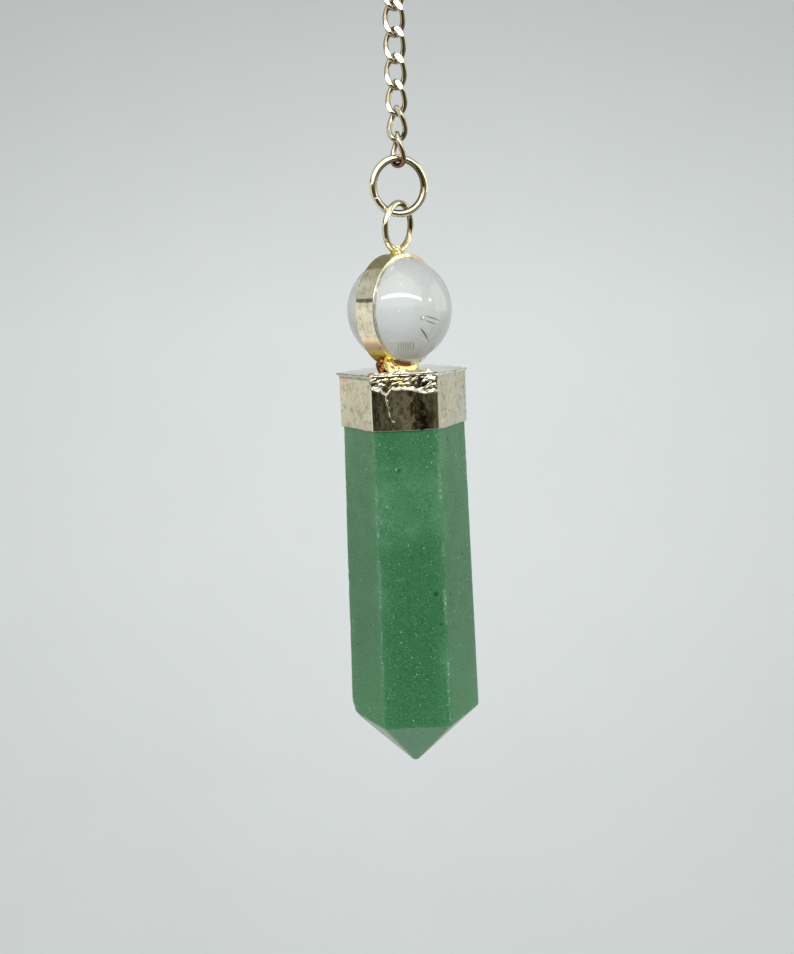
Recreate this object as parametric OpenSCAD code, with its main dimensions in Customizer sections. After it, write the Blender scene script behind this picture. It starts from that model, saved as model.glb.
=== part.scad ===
// Pendulum pendant: a hexagonal green stone point in a soldered hexagonal cap,
// a clear ball in a band above it, a round loop, a jump ring and a length of curb chain.
// Millimetres, +Z up. The pendant hangs from the inside of the top link, at the origin.
// A turn is measured from +X about the vertical: a positive one brings the right-hand side nearer (-Y).

/* [Chain] */
// Distance from one link to the next
link_pitch = 2.3; // [2.2:0.02:2.8]
// Outer width of a link
link_w = 2.1; // [2.05:0.05:2.4]
// Wire diameter of a link
link_wire = 0.5; // [0.36:0.02:0.5]
// Thickness of the chain between its planed front and back
chain_t = 0.92; // [0.86:0.02:1.3]
// Twist of a link from its middle to either end
link_twist = 45; // [38:1:50]
// Twist of the last link, which was opened for the jump ring and pressed shut
last_twist = 30; // [24:1:34]
// Turn of the last link's middle
last_turn = 66; // [64:1:72]
// Outer width of the last link
last_w = 2.3; // [2.2:0.05:2.5]

/* [Jump ring] */
// Outer diameter of the jump ring
ring_d = 5.75; // [5:0.05:7]
// Wire diameter of the jump ring
ring_wire = 0.7; // [0.5:0.02:0.74]
// Turn of the jump ring
ring_turn = -20; // [-24:1:-14]

/* [Loop] */
// Outer diameter of the loop on top of the ball
loop_d = 5; // [4.4:0.05:6]
// Wire diameter of the loop
loop_wire = 0.62; // [0.45:0.01:0.66]
// Turn of the loop
loop_turn = -58; // [-75:1:-57]
// Lean of the loop, which was soldered on a little askew
loop_lean = 6; // [0:0.5:8]
// Width of the solder under the loop
loop_solder_w = 1.9; // [1.2:0.1:2.1]

/* [Ball] */
// Diameter of the clear ball
ball_d = 10; // [8:0.1:12]

/* [Band] */
// Width of the band around the ball
band_w = 2.1; // [1.5:0.1:3]
// Thickness of the band at its middle
band_t = 0.3; // [0.2:0.05:0.6]
// Turn of the band
band_turn = -53; // [-90:1:0]
// Length of the solder foot between the band and the cap
foot_w = 4.2; // [2.5:0.1:5]
// Height of the solder foot below the band
foot_h = 0.35; // [0.2:0.05:1]

/* [Cap] */
// Outer width of the cap across its corners
cap_w = 12.25; // [10:0.05:15]
// Height of the cap
cap_h = 5.2; // [4:0.1:8]
// Wall thickness of the cap
cap_wall = 0.13; // [0.1:0.01:0.3]
// Thickness of the cap's top plate
plate_t = 0.3; // [0.2:0.05:0.6]
// Overhang of the top plate's lip past the walls, at its corners
lip_out = 0.17; // [0.05:0.01:0.3]
// Thickness of the lip
lip_t = 0.16; // [0.1:0.02:0.3]
// Number of solder lumps along the front of the lip
lump_count = 8; // [4:1:9]
// Radius of a solder lump
lump_r = 0.34; // [0.2:0.02:0.36]

/* [Stone] */
// Length of the stone from the cap's bottom edge to its shoulder
shaft_h = 28.9; // [15:0.1:45]
// Width of the stone across its corners at the shoulder
shoulder_w = 12.95; // [12.2:0.05:16]
// Height of the stone's point
point_h = 5.6; // [3:0.1:9]
// Width of the blunt tip
tip_w = 0.6; // [0.3:0.05:1.5]
// Shift of the tip to the right of the stone's axis
tip_off = -0.2; // [-0.5:0.05:0.5]
// Turn of the stone and the cap
hex_turn = -2; // [-10:1:10]

/* [Clearances] */
// Clearance between two chain links, or a link and the ring
link_gap = 0.06; // [0.05:0.01:0.12]
// Clearance between the jump ring and the loop above it, wide because they hang askew to each other
loop_gap = 0.32; // [0.2:0.01:0.4]
// Clearance between the stones and the metal
seat_gap = 0.03; // [0.02:0.01:0.08]

/* [Hidden] */

// Chain links, one node each
link_count = 7;
// Share of the last link's turn that each link has taken up, counted from the last link up
turn_shares = [1, 0.52, 0.32, 0.1];
// Stations round a link and sides of its wire
link_stations = 16;
wire_sides = 6;
// Power that squares the oval of a link a little
oval_power = 2.4;
// Depth to which soldered parts are sunk into each other
sink = 0.12;
// Width of the foot's top as a share of its length
foot_taper = 0.84;
// Depth of a solder lump in the wall, and its drops below the lip, as shares of its radius
lump_sink = 0.35;
lump_drops = [1.2, 2.4];
// Facets of round shapes
round_fn = 64;

// Places on the chain
link_l = link_pitch + link_wire + link_gap;
first_z = (link_wire - link_l) / 2;
last_z = first_z - (link_count - 1) * link_pitch;
last_bottom_z = last_z - link_l / 2;

// Places on the jump ring, at the middle of its wire
ring_r = (ring_d - ring_wire) / 2;
ring_top_z = last_bottom_z + (link_wire + ring_wire) / 2 + link_gap;
ring_z = ring_top_z - ring_r;
ring_bottom_z = ring_z - ring_r;

// Places on the pendant, measured from the middle of the ball
ball_r = ball_d / 2;
seat_r = ball_r + seat_gap;
band_r = seat_r + band_t;
loop_r = (loop_d - loop_wire) / 2;
loop_foot_z = band_r + loop_wire / 2 - sink / 2;
cap_top_z = -band_r - foot_h;
cap_bottom_z = cap_top_z - cap_h;
cap_side = cos(30);
stone_w = cap_w - 2 * (cap_wall + seat_gap) / cap_side;
stone_top_z = cap_top_z - plate_t - seat_gap;
shoulder_z = cap_bottom_z - shaft_h;
tip_z = shoulder_z - point_h;

// The pendant hangs from the top of its loop, and its weight leans it back under that point
hang_z = ring_bottom_z + (ring_wire + loop_wire) / 2 + loop_gap;
loop_axis = [cos(loop_turn), -sin(loop_turn), 0];
lean_way = [-sin(loop_turn), -cos(loop_turn), 0];
loop_top = loop_foot_z * [0, 0, 1] + 2 * loop_r * (sin(loop_lean) * lean_way + cos(loop_lean) * [0, 0, 1]);
balance_z = (stone_top_z + shoulder_z) / 2;
pendant_lean = atan(2 * loop_r * sin(loop_lean) / (loop_top.z - balance_z));

// Turn of a link's middle, counted from 0 at the top
function link_turn(i) =
    let (from_last = link_count - 1 - i)
    from_last < len(turn_shares) ? last_turn * turn_shares[from_last] : 0;

// Signed power that shapes the link's oval
function oval(x) = sign(x) * pow(abs(x), 2 / oval_power);

// Point of a link's centre line at the angle a round it, twisted about the vertical
function link_point(a, turn, twist, w) =
    let (
        side = (w - link_wire) / 2 * oval(cos(a)),
        share = oval(sin(a)),
        way = turn + twist * share
    )
    [side * cos(way), -side * sin(way), link_l / 2 * share];

function unit(v) = v / norm(v);

// Ring of wire points round one station, flattened where the chain is planed
function link_section(a, turn, twist, w) =
    let (
        step = 2,
        p = link_point(a, turn, twist, w),
        along = unit(link_point(a + step, turn, twist, w) - link_point(a - step, turn, twist, w)),
        way = turn + twist * oval(sin(a)),
        flat_way = [sin(way), cos(way), 0],
        cross_way = unit(flat_way - (flat_way * along) * along),
        out_way = cross(cross_way, along),
        plane_way = [sin(turn), cos(turn), 0]
    )
    [for (k = [0:wire_sides - 1])
        let (
            b = 360 * k / wire_sides,
            q = p + link_wire / 2 * (cos(b) * out_way + sin(b) * cross_way),
            depth = q * plane_way,
            kept = max(-chain_t / 2, min(chain_t / 2, depth))
        )
        q + (kept - depth) * plane_way];

// One chain link: its wire swept round the twisted oval
module link(i) {
    last = i == link_count - 1;
    turn = link_turn(i);
    twist = last ? last_twist : link_twist;
    w = last ? last_w : link_w;
    points = [for (s = [0:link_stations - 1])
        each link_section(360 * (s + 0.5) / link_stations, turn, twist, w)];
    faces = [for (s = [0:link_stations - 1]) for (k = [0:wire_sides - 1])
        let (
            t = (s + 1) % link_stations,
            l = (k + 1) % wire_sides,
            a = s * wire_sides + k,
            b = s * wire_sides + l,
            c = t * wire_sides + l,
            d = t * wire_sides + k
        )
        each [[a, c, b], [a, d, c]]];
    translate([0, 0, first_z - i * link_pitch])
        polyhedron(points, faces, convexity = 4);
}

module chain_link(i) {
    color("silver")
        link(i);
}

// Round wire bent into a closed ring that stands upright, its plane turned
module wire_ring(r, wire, turn) {
    rotate([0, 0, -turn])
        rotate([90, 0, 0])
            rotate_extrude($fn = round_fn)
                translate([r, 0])
                    circle(d = wire, $fn = round_fn);
}

module jump_ring() {
    color("darkkhaki")
        translate([0, 0, ring_z])
            wire_ring(ring_r, ring_wire, ring_turn);
}

// Moves the pendant from the middle of its ball to where it hangs
module hung() {
    translate([0, 0, hang_z])
        rotate(a = -pendant_lean, v = loop_axis)
            translate(-loop_top)
                children();
}

// Hexagonal prism given by its width across corners, standing on z
module hexagon(w, z, h) {
    rotate([0, 0, -hex_turn])
        translate([0, 0, z])
            cylinder(d = w, h = h, $fn = 6);
}

// Cuts the seat of the ball out of a piece of metal
module seated() {
    difference() {
        children();
        sphere(r = seat_r, $fn = round_fn);
    }
}

// Loop with the solder cone that holds it on the band
module loop() {
    translate([0, 0, loop_foot_z])
        rotate(a = loop_lean, v = loop_axis)
            translate([0, 0, loop_r])
                wire_ring(loop_r, loop_wire, loop_turn);
    translate([0, 0, band_r - band_t])
        cylinder(d1 = loop_solder_w, d2 = loop_wire, h = band_t + loop_wire, $fn = round_fn);
}

// Band round the ball with the solder foot below it
module band() {
    rotate([0, 0, -band_turn])
        rotate([90, 0, 0]) {
            cylinder(r = band_r, h = band_w, center = true, $fn = round_fn);
            linear_extrude(band_w, center = true)
                polygon([
                    [-foot_w / 2, cap_top_z - sink],
                    [foot_w / 2, cap_top_z - sink],
                    [foot_w / 2 * foot_taper, cap_top_z + 2 * foot_h],
                    [-foot_w / 2 * foot_taper, cap_top_z + 2 * foot_h]
                ]);
        }
}

// Solder lumps along the upper edge of the cap's front face
module lumps() {
    face_y = -cap_w / 2 * cap_side;
    span = cap_w / 2 - 2 * lump_r;
    rotate([0, 0, -hex_turn])
        for (i = [0:lump_count - 1])
            translate([
                span * (i / (lump_count - 1) - 0.5),
                face_y + lump_r * lump_sink,
                cap_top_z - lip_t - lump_r * lump_drops[i % len(lump_drops)]
            ])
                sphere(r = lump_r, $fn = round_fn);
}

// Hexagonal cap with its top plate, thin lip and solder, open below for the stone
module cap() {
    difference() {
        union() {
            hexagon(cap_w, cap_bottom_z, cap_h);
            hexagon(cap_w + 2 * lip_out, cap_top_z - lip_t, lip_t);
            lumps();
        }
        hexagon(cap_w - 2 * cap_wall / cap_side, cap_bottom_z - 1, cap_h + 1 - plate_t);
    }
}

// Loop, band, foot and cap are soldered into one piece of metal
module setting() {
    color("tan")
        hung() {
            seated() loop();
            seated() band();
            cap();
        }
}

module quartz_ball() {
    color("azure")
        hung()
            sphere(d = ball_d, $fn = round_fn);
}

// Hexagonal stone: rows of six corners joined by flat faces, from the hidden top to the tip.
// A row holds its height, its width and its shift off the axis.
module stone_point() {
    rows = [
        [stone_top_z, stone_w, 0],
        [cap_bottom_z, stone_w, 0],
        [shoulder_z, shoulder_w, 0],
        [tip_z, tip_w, tip_off]
    ];
    sides = 6;
    points = [for (row = rows) for (k = [0:sides - 1])
        let (a = 360 * k / sides - hex_turn)
        [row[1] / 2 * cos(a) + row[2], row[1] / 2 * sin(a), row[0]]];
    walls = [for (s = [0:len(rows) - 2]) for (k = [0:sides - 1])
        let (l = (k + 1) % sides)
        [s * sides + k, s * sides + l, (s + 1) * sides + l, (s + 1) * sides + k]];
    table = [for (k = [sides - 1:-1:0]) k];
    tip = [for (k = [0:sides - 1]) (len(rows) - 1) * sides + k];
    color("mediumseagreen")
        hung()
            polyhedron(points, concat(walls, [table, tip]), convexity = 2);
}

chain_link(0);  // chain_link_1
chain_link(1);  // chain_link_2
chain_link(2);  // chain_link_3
chain_link(3);  // chain_link_4
chain_link(4);  // chain_link_5
chain_link(5);  // chain_link_6
chain_link(6);  // chain_link_7
jump_ring();
setting();
quartz_ball();
stone_point();
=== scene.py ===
import math

import bpy
import numpy as np
from mathutils import Matrix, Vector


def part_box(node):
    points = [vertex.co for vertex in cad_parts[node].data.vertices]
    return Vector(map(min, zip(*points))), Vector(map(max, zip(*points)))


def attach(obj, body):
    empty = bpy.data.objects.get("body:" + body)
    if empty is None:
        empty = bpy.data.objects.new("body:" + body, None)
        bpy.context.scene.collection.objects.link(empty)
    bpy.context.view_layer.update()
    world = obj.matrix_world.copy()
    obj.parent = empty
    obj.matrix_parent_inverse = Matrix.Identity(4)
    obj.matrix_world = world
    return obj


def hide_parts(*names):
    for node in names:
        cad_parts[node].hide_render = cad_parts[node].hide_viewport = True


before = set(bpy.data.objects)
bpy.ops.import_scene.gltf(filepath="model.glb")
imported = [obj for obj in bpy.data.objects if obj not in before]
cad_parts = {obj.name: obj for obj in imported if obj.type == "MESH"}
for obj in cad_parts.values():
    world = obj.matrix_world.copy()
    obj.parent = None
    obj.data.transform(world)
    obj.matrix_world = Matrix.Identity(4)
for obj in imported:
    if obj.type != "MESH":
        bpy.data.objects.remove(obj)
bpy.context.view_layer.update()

# Sizes in millimetres, as the part's source has them. Places come from the frame.
MM = 0.001
LINK_COUNT = 7
LINK_PITCH = 2.3
LINK_WIRE = 0.5
LINK_GAP = 0.06
LINK_L = LINK_PITCH + LINK_WIRE + LINK_GAP
LINK_W = 2.1
LAST_W = 2.3
CHAIN_T = 0.92
LINK_TWIST = 45
LAST_TWIST = 30
LINK_TURNS = [66 * share for share in (0, 0, 0, 0.1, 0.32, 0.52, 1)]
OVAL_POWER = 2.4
RING_WIRE = 0.7
RING_TURN = -20
LOOP_D = 5.0
LOOP_WIRE = 0.62
LOOP_TURN = -58
LOOP_LEAN = 6
LOOP_SINK = 0.06
LOOP_SOLDER_W = 1.9
SEAT_GAP = 0.03
BAND_W = 2.1
BAND_T = 0.3
BAND_TURN = -53
FOOT_W = 4.2
FOOT_H = 0.35
CAP_W = 12.25
CAP_H = 5.2
CAP_WALL = 0.13
PLATE_T = 0.3
LIP_OUT = 0.17
SHAFT_H = 28.9
SHOULDER_W = 12.95
POINT_H = 5.6
TIP_W = 0.6
TIP_OFF = -0.2
HEX_TURN = -2

# A hexagon's half width across its flats, as a share of that across its corners
FLAT_SHARE = math.cos(math.radians(30))

# A turn is measured about the vertical: a positive one brings the right-hand side nearer (-Y).
UP = np.array([0.0, 0.0, 1.0])


def turned(turn):
    """Level unit vector that points right at turn 0 and nearer as the turn grows."""
    return np.array([math.cos(math.radians(turn)), -math.sin(math.radians(turn)), 0.0])


def middle(node):
    """Middle of a CAD node's box, in millimetres."""
    low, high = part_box(node)
    return (np.array(low) + np.array(high)) / 2 / MM


RING_MIDDLE = middle("jump_ring")
RING_R = (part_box("jump_ring")[1].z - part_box("jump_ring")[0].z) / MM / 2 - RING_WIRE / 2
BALL_MIDDLE = middle("quartz_ball")
BALL_R = (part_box("quartz_ball")[1].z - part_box("quartz_ball")[0].z) / MM / 2

# Places on the pendant, measured from the middle of its ball before it leans
SEAT_R = BALL_R + SEAT_GAP
BAND_R = SEAT_R + BAND_T
LOOP_R = (LOOP_D - LOOP_WIRE) / 2
LOOP_FOOT_Z = BAND_R + LOOP_WIRE / 2 - LOOP_SINK
CAP_TOP_Z = -BAND_R - FOOT_H
CAP_BOTTOM_Z = CAP_TOP_Z - CAP_H
STONE_W = CAP_W - 2 * (CAP_WALL + SEAT_GAP) / FLAT_SHARE
STONE_TOP_Z = CAP_TOP_Z - PLATE_T - SEAT_GAP
SHOULDER_Z = CAP_BOTTOM_Z - SHAFT_H
TIP_Z = SHOULDER_Z - POINT_H

# The pendant leans back under the top of its loop until its weight hangs below it
LOOP_TOP_OUT = 2 * LOOP_R * math.sin(math.radians(LOOP_LEAN))
LOOP_TOP_Z = LOOP_FOOT_Z + 2 * LOOP_R * math.cos(math.radians(LOOP_LEAN))
PENDANT_LEAN = math.atan2(LOOP_TOP_OUT, LOOP_TOP_Z - (STONE_TOP_Z + SHOULDER_Z) / 2)
HUNG = np.array(Matrix.Rotation(-PENDANT_LEAN, 3, turned(LOOP_TURN).tolist()))


def hung(points):
    """Moves points from the pendant's own upright frame to where it hangs: a lean about the loop's axis."""
    return points @ HUNG.T + BALL_MIDDLE


def unit(vectors):
    """The same directions at length 1."""
    return vectors / np.linalg.norm(vectors, axis=-1, keepdims=True)


def smooth(low, high, x):
    """Eased step from 0 at low to 1 at high."""
    t = np.clip((x - low) / (high - low), 0, 1)
    return t * t * (3 - 2 * t)


def bump(x, width):
    """Bell of height 1 round x = 0."""
    return np.exp(-((x / width) ** 2))


def spanned(*parts):
    """Points from pairs of a length and a direction: the sum of each length times its direction."""
    return sum(length[..., None] * way for length, way in parts)


def laid_flat(across, down):
    """Points (across, 0, down), on which a pattern over two coordinates is laid out."""
    level = 0 * (across + down)
    return np.stack([across + level, level, down + level], -1)


# Numbers that mix a cell's place and a seed, and what keeps a cell's numbers above 0
CELL_PRIMES = np.array([73856093, 19349663, 83492791])
SEED_PRIME = 2654435761
MIX_PRIME = 1274126177
LOW_BITS = 0xFFFFFFFF
CELLS_OFF = 512.0


def hashed(cell, seed):
    """Fixed value from -1 to 1 for each whole-numbered cell (x, y, z): its numbers times three primes,
    mixed bit by bit with each other and the seed."""
    h = np.bitwise_xor.reduce(cell * CELL_PRIMES, axis=-1) ^ (seed * SEED_PRIME)
    h = h & LOW_BITS
    h = (h ^ (h >> 13)) * MIX_PRIME & LOW_BITS
    return (h ^ (h >> 16)) / LOW_BITS * 2 - 1


def noise(points, size, seed):
    """Value noise from -1 to 1: hashed values at the corners of a lattice of cells of the given size
    (one number, or one for each axis), blended across a cell by an eased step along each axis."""
    p = points / np.asarray(size) + CELLS_OFF
    cell = np.floor(p).astype(np.int64)
    share = p - cell
    share = share**3 * (share * (share * 6 - 15) + 10)
    total = np.zeros(p.shape[:-1])
    for corner in np.ndindex(2, 2, 2):
        total += hashed(cell + corner, seed) * np.prod(np.where(corner, share, 1 - share), axis=-1)
    return total


def facets(across, along, size, seed):
    """Crumpled foil from -1 to 1 over two coordinates: hashed heights at the corners of a lattice of
    triangles of the given size, joined by flat triangles. The lattice is bent a little by noise."""
    flat = np.stack([across + 0 * along, along + 0 * across, 0 * (across + along)], -1)
    x = flat[..., 0] / size + 0.35 * noise(flat, 1.7 * size, seed + 1) + CELLS_OFF
    y = flat[..., 1] / size + 0.35 * noise(flat, 1.7 * size, seed + 2) + CELLS_OFF
    skewed = np.stack([x + y / 2, y, 0 * y], -1)
    cell = np.floor(skewed).astype(np.int64)
    s, t = skewed[..., 0] - cell[..., 0], skewed[..., 1] - cell[..., 1]
    upper = s + t > 1
    near_cell = np.where(upper[..., None], cell + (1, 1, 0), cell)
    near = hashed(near_cell, seed) * np.where(upper, s + t - 1, 1 - s - t)
    beside = hashed(cell + (1, 0, 0), seed) * np.where(upper, 1 - t, s)
    above = hashed(cell + (0, 1, 0), seed) * np.where(upper, 1 - s, t)
    return near + beside + above


# Meshes from grids of points


def grid_faces(rows, columns, rows_close, columns_close):
    """Four-sided faces between neighbouring rows and columns of a grid, as one array."""
    i = np.arange(rows if rows_close else rows - 1)[:, None]
    j = np.arange(columns if columns_close else columns - 1)[None, :]
    a = i * columns + j
    b = i * columns + (j + 1) % columns
    c = (i + 1) % rows * columns + (j + 1) % columns
    d = (i + 1) % rows * columns + j
    return np.stack([a, b, c, d], -1).reshape(-1, 4)


def enclosed(points, faces):
    """Six times the volume inside a closed mesh: the sum over its triangles of a . (b x c)."""
    corners = [points[faces[:, k]] for k in range(faces.shape[1])]
    return sum(
        float(np.einsum("ij,ij->", corners[0], np.cross(corners[k], corners[k + 1])))
        for k in range(1, len(corners) - 1)
    )


def shell(points, rows_close, masks):
    """Closed skin of one grid of points (rows, columns, 3) in millimetres. Its columns close round. Its rows
    close into a ring too, or each end is shut by a fan about its middle. Faces point outwards. Gives the
    corners in metres, the faces and fans, and each mask as one number for each corner."""
    rows, columns = points.shape[:2]
    corners = points.reshape(-1, 3) * MM
    faces = grid_faces(rows, columns, rows_close, True)
    values = {key: np.broadcast_to(mask, (rows, columns)).ravel() for key, mask in masks.items()}
    fans = np.empty((0, 3), int)
    if not rows_close:
        first = np.arange(columns)
        last = first + (rows - 1) * columns
        count = len(corners)
        corners = np.vstack([corners, corners[first].mean(0), corners[last].mean(0)])
        fans = np.vstack([
            np.stack([np.roll(first, -1), first, np.full(columns, count)], -1),
            np.stack([last, np.roll(last, -1), np.full(columns, count + 1)], -1),
        ])
        for key, mask in values.items():
            values[key] = np.append(mask, [mask[first].mean(), mask[last].mean()])
    volume = enclosed(corners, faces) + (enclosed(corners, fans) if len(fans) else 0)
    if volume < 0:
        faces, fans = faces[:, ::-1], fans[:, ::-1]
    return corners, (faces, fans), values


def new_object(name, corners, faces, material):
    """Smooth object from corners in metres and a list of faces."""
    mesh = bpy.data.meshes.new(name)
    mesh.from_pydata(corners.tolist(), [], faces)
    mesh.shade_smooth()
    mesh.materials.append(material)
    made = bpy.data.objects.new(name, mesh)
    bpy.context.scene.collection.objects.link(made)
    return made


def keep(made, key, values):
    """Keeps one number for each corner of an object's mesh, as an attribute."""
    kept = made.data.attributes.new(key, "FLOAT", "POINT")
    kept.data.foreach_set("value", values.astype(np.float32))


def piece(name, grids, body, slot, material, replaced=(), rows_close=False, masks=None, sharp=None):
    """Object from one grid of points, or from a list of them joined, each a closed skin. A mask is kept as an
    attribute. sharp is the angle in degrees past which an edge is crisp."""
    masks = masks or {}
    grids = grids if isinstance(grids, list) else [grids]
    skins = [shell(grid, rows_close, masks) for grid in grids]
    faces = []
    start = 0
    for corners, skin_faces, _ in skins:
        for some in skin_faces:
            faces += (some + start).tolist()
        start += len(corners)
    made = new_object(name, np.vstack([skin[0] for skin in skins]), faces, material)
    if sharp is not None:
        made.data.set_sharp_from_angle(angle=math.radians(sharp))
    for key in masks:
        keep(made, key, np.concatenate([skin[2][key] for skin in skins]))
    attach(made, body)
    if replaced:
        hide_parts(*replaced)
    return made


def tube(path, radius, lean_way, sides, rows_close=True):
    """Grid of a round wire: at each point of the path a circle of the radius, in the plane across the path.
    lean_way is a vector for each point that isn't along the path, from which the circle is laid out."""
    ahead = np.roll(path, -1, 0) - np.roll(path, 1, 0)
    if not rows_close:
        ahead = np.gradient(path, axis=0)
    along = unit(ahead)
    across = unit(lean_way - np.sum(lean_way * along, -1, keepdims=True) * along)
    out = np.cross(across, along)
    angle = np.linspace(0, 2 * np.pi, sides, endpoint=False)[None, :, None]
    reach = np.broadcast_to(np.asarray(radius, float).reshape(-1, 1, 1), (len(path), 1, 1))
    return path[:, None] + reach * (np.cos(angle) * out[:, None] + np.sin(angle) * across[:, None])


def evenly(path, count):
    """The same closed path with its points at equal steps along it."""
    closed = np.vstack([path, path[:1]])
    run = np.append(0, np.cumsum(np.linalg.norm(np.diff(closed, axis=0), axis=1)))
    wanted = np.linspace(0, run[-1], count, endpoint=False)
    return np.stack([np.interp(wanted, run, closed[:, k]) for k in range(3)], -1)


# Shader nodes


def add(tree, kind, sockets=None, **settings):
    """New node with its settings and inputs, where an input is a value or another node's output."""
    made = tree.nodes.new("ShaderNode" + kind)
    for key, value in settings.items():
        setattr(made, key, value)
    for key, value in (sockets or {}).items():
        if isinstance(value, bpy.types.NodeSocket):
            tree.links.new(value, made.inputs[key])
        else:
            made.inputs[key].default_value = value
    return made


def colour(*rgb):
    """Opaque colour."""
    return (*rgb, 1.0)


def mixed(tree, factor, a, b):
    """Colour a turned into colour b by the factor."""
    return add(tree, "Mix", {0: factor, 6: a, 7: b}, data_type="RGBA").outputs[2]


def spread(tree, value, low, high, to_low=0.0, to_high=1.0):
    """A value taken from one range to another, and kept inside it."""
    sockets = {"Value": value, "From Min": low, "From Max": high, "To Min": to_low, "To Max": to_high}
    return add(tree, "MapRange", sockets).outputs[0]


def maths(tree, operation, a, b=0.0, c=0.0):
    """One step of arithmetic on values or other nodes' outputs."""
    return add(tree, "Math", {0: a, 1: b, 2: c}, operation=operation).outputs[0]


def place(tree, stretch=(1, 1, 1)):
    """Object coordinates in millimetres, each axis multiplied by its stretch."""
    source = add(tree, "TexCoord").outputs["Object"]
    scale = tuple(s / MM for s in stretch)
    return add(tree, "Mapping", {"Vector": source, "Scale": scale}).outputs[0]


def grain(tree, vector, scale, detail=3.0, roughness=0.55):
    """Noise from 0 to 1, with as many cells a millimetre as the scale says."""
    sockets = {"Vector": vector, "Scale": scale, "Detail": detail, "Roughness": roughness}
    return add(tree, "TexNoise", sockets).outputs["Fac"]


def attribute(tree, name):
    """Value of a mask that is kept with the mesh."""
    return add(tree, "Attribute", attribute_name=name).outputs["Fac"]


def new_group(name, inputs, outputs):
    """Empty shader group with named inputs, given as (name, default), and outputs, as (name, kind)."""
    group = bpy.data.node_groups.new(name, "ShaderNodeTree")
    for key, value in inputs:
        kind = "NodeSocketColor" if isinstance(value, tuple) else "NodeSocketFloat"
        socket = group.interface.new_socket(name=key, in_out="INPUT", socket_type=kind)
        socket.default_value = value
    for key, kind in outputs:
        group.interface.new_socket(name=key, in_out="OUTPUT", socket_type=kind)
    return group, group.nodes.new("NodeGroupInput"), group.nodes.new("NodeGroupOutput")


def polish_group():
    """Skin of polished plated metal: cloudy tarnish, long drawing marks and fine pits.
    Marks says how strongly it is drawn along the vertical, and Cloud how far the tarnish reaches."""
    group, given, taken = new_group(
        "Polished plating",
        [("Cloud", 0.5), ("Marks", 0.5), ("Gloss", 0.15)],
        [("Tarnish", "NodeSocketFloat"), ("Roughness", "NodeSocketFloat"), ("Height", "NodeSocketFloat")],
    )
    flat = place(group)
    drawn = place(group, (1, 1, 0.12))
    cloud = spread(group, grain(group, flat, 0.9, 4), 0.42, 0.75)
    streaks = spread(group, grain(group, drawn, 3.2, 4), 0.45, 0.7)
    marked = maths(group, "MULTIPLY", streaks, given.outputs["Marks"])
    tarnish = maths(group, "MULTIPLY", maths(group, "ADD", cloud, marked), given.outputs["Cloud"])
    marks = grain(group, drawn, 9.0, 3)
    pits = spread(group, grain(group, flat, 14.0, 2), 0.3, 0.45)
    height = maths(group, "ADD", maths(group, "MULTIPLY", marks, given.outputs["Marks"]), pits)
    rough = maths(group, "MULTIPLY", cloud, 0.06)
    group.links.new(tarnish, taken.inputs["Tarnish"])
    group.links.new(maths(group, "ADD", rough, given.outputs["Gloss"]), taken.inputs["Roughness"])
    group.links.new(height, taken.inputs["Height"])
    return group


def grains_group():
    """Mask of sparse grains: round spots in a share of the cells. Scale is how many cells there are a
    millimetre, Size a grain's radius as a share of its cell, and Share how many of the cells hold one."""
    group, given, taken = new_group(
        "Sparse grains",
        [("Scale", 1.0), ("Size", 0.2), ("Share", 0.1)],
        [("Mask", "NodeSocketFloat")],
    )
    cells = add(group, "TexVoronoi", {"Vector": place(group), "Scale": given.outputs["Scale"]})
    size = given.outputs["Size"]
    near = spread(group, cells.outputs["Distance"], size, maths(group, "MULTIPLY", size, 0.4))
    lot = add(group, "SeparateColor", {0: cells.outputs["Color"]}).outputs[0]
    least = maths(group, "SUBTRACT", 1.0, given.outputs["Share"])
    held = spread(group, lot, least, maths(group, "ADD", least, 0.02))
    group.links.new(maths(group, "MULTIPLY", near, held), taken.inputs["Mask"])
    return group


def tarnish_and_shade_group():
    """Colour that turns to a darker one where the inner mask says: tarnish in places, painted shade and
    painted dark reflection in others.
    """
    group, given, taken = new_group(
        "Tarnish and painted shade",
        [("Color", colour(1, 1, 1)), ("Tarnish", colour(0, 0, 0))],
        [("Color", "NodeSocketColor")],
    )
    tone = mixed(group, attribute(group, "inner"), given.outputs["Color"], given.outputs["Tarnish"])
    group.links.new(tone, taken.inputs["Color"])
    return group


POLISH = polish_group()
GRAINS = grains_group()
TARNISH_AND_SHADE_GROUP = tarnish_and_shade_group()


def flecks(tree, scale, size, share):
    """Mask of sparse grains, from their group with its own values."""
    sockets = {"Scale": scale, "Size": size, "Share": share}
    return add(tree, "Group", sockets, node_tree=GRAINS).outputs["Mask"]


def with_tarnish_and_shade(tree, tone, tarnish):
    """The tone darkened where the inner mask says, from its group: tarnish in places, painted shade and
    painted dark reflection in others.
    """
    return add(tree, "Group", {"Color": tone, "Tarnish": tarnish}, node_tree=TARNISH_AND_SHADE_GROUP).outputs["Color"]


def new_material(name):
    """Material with its shader and the tree they are in."""
    made = bpy.data.materials.new(name)
    made.use_nodes = True
    return made, made.node_tree, made.node_tree.nodes["Principled BSDF"]


def plated(name, light, dark, cloud, marks, gloss, depth):
    """Plated metal on the polish group: a light colour clouded by a dark one. depth is the bump in mm."""
    made, tree, shader = new_material(name)
    skin = add(tree, "Group", {"Cloud": cloud, "Marks": marks, "Gloss": gloss}, node_tree=POLISH)
    tone = mixed(tree, skin.outputs["Tarnish"], light, dark)
    relief = add(tree, "Bump", {"Height": skin.outputs["Height"], "Distance": depth * MM, "Strength": 1.0})
    tree.links.new(tone, shader.inputs["Base Color"])
    tree.links.new(skin.outputs["Roughness"], shader.inputs["Roughness"])
    tree.links.new(relief.outputs[0], shader.inputs["Normal"])
    shader.inputs["Metallic"].default_value = 1.0
    return made, tree, shader, tone


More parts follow.
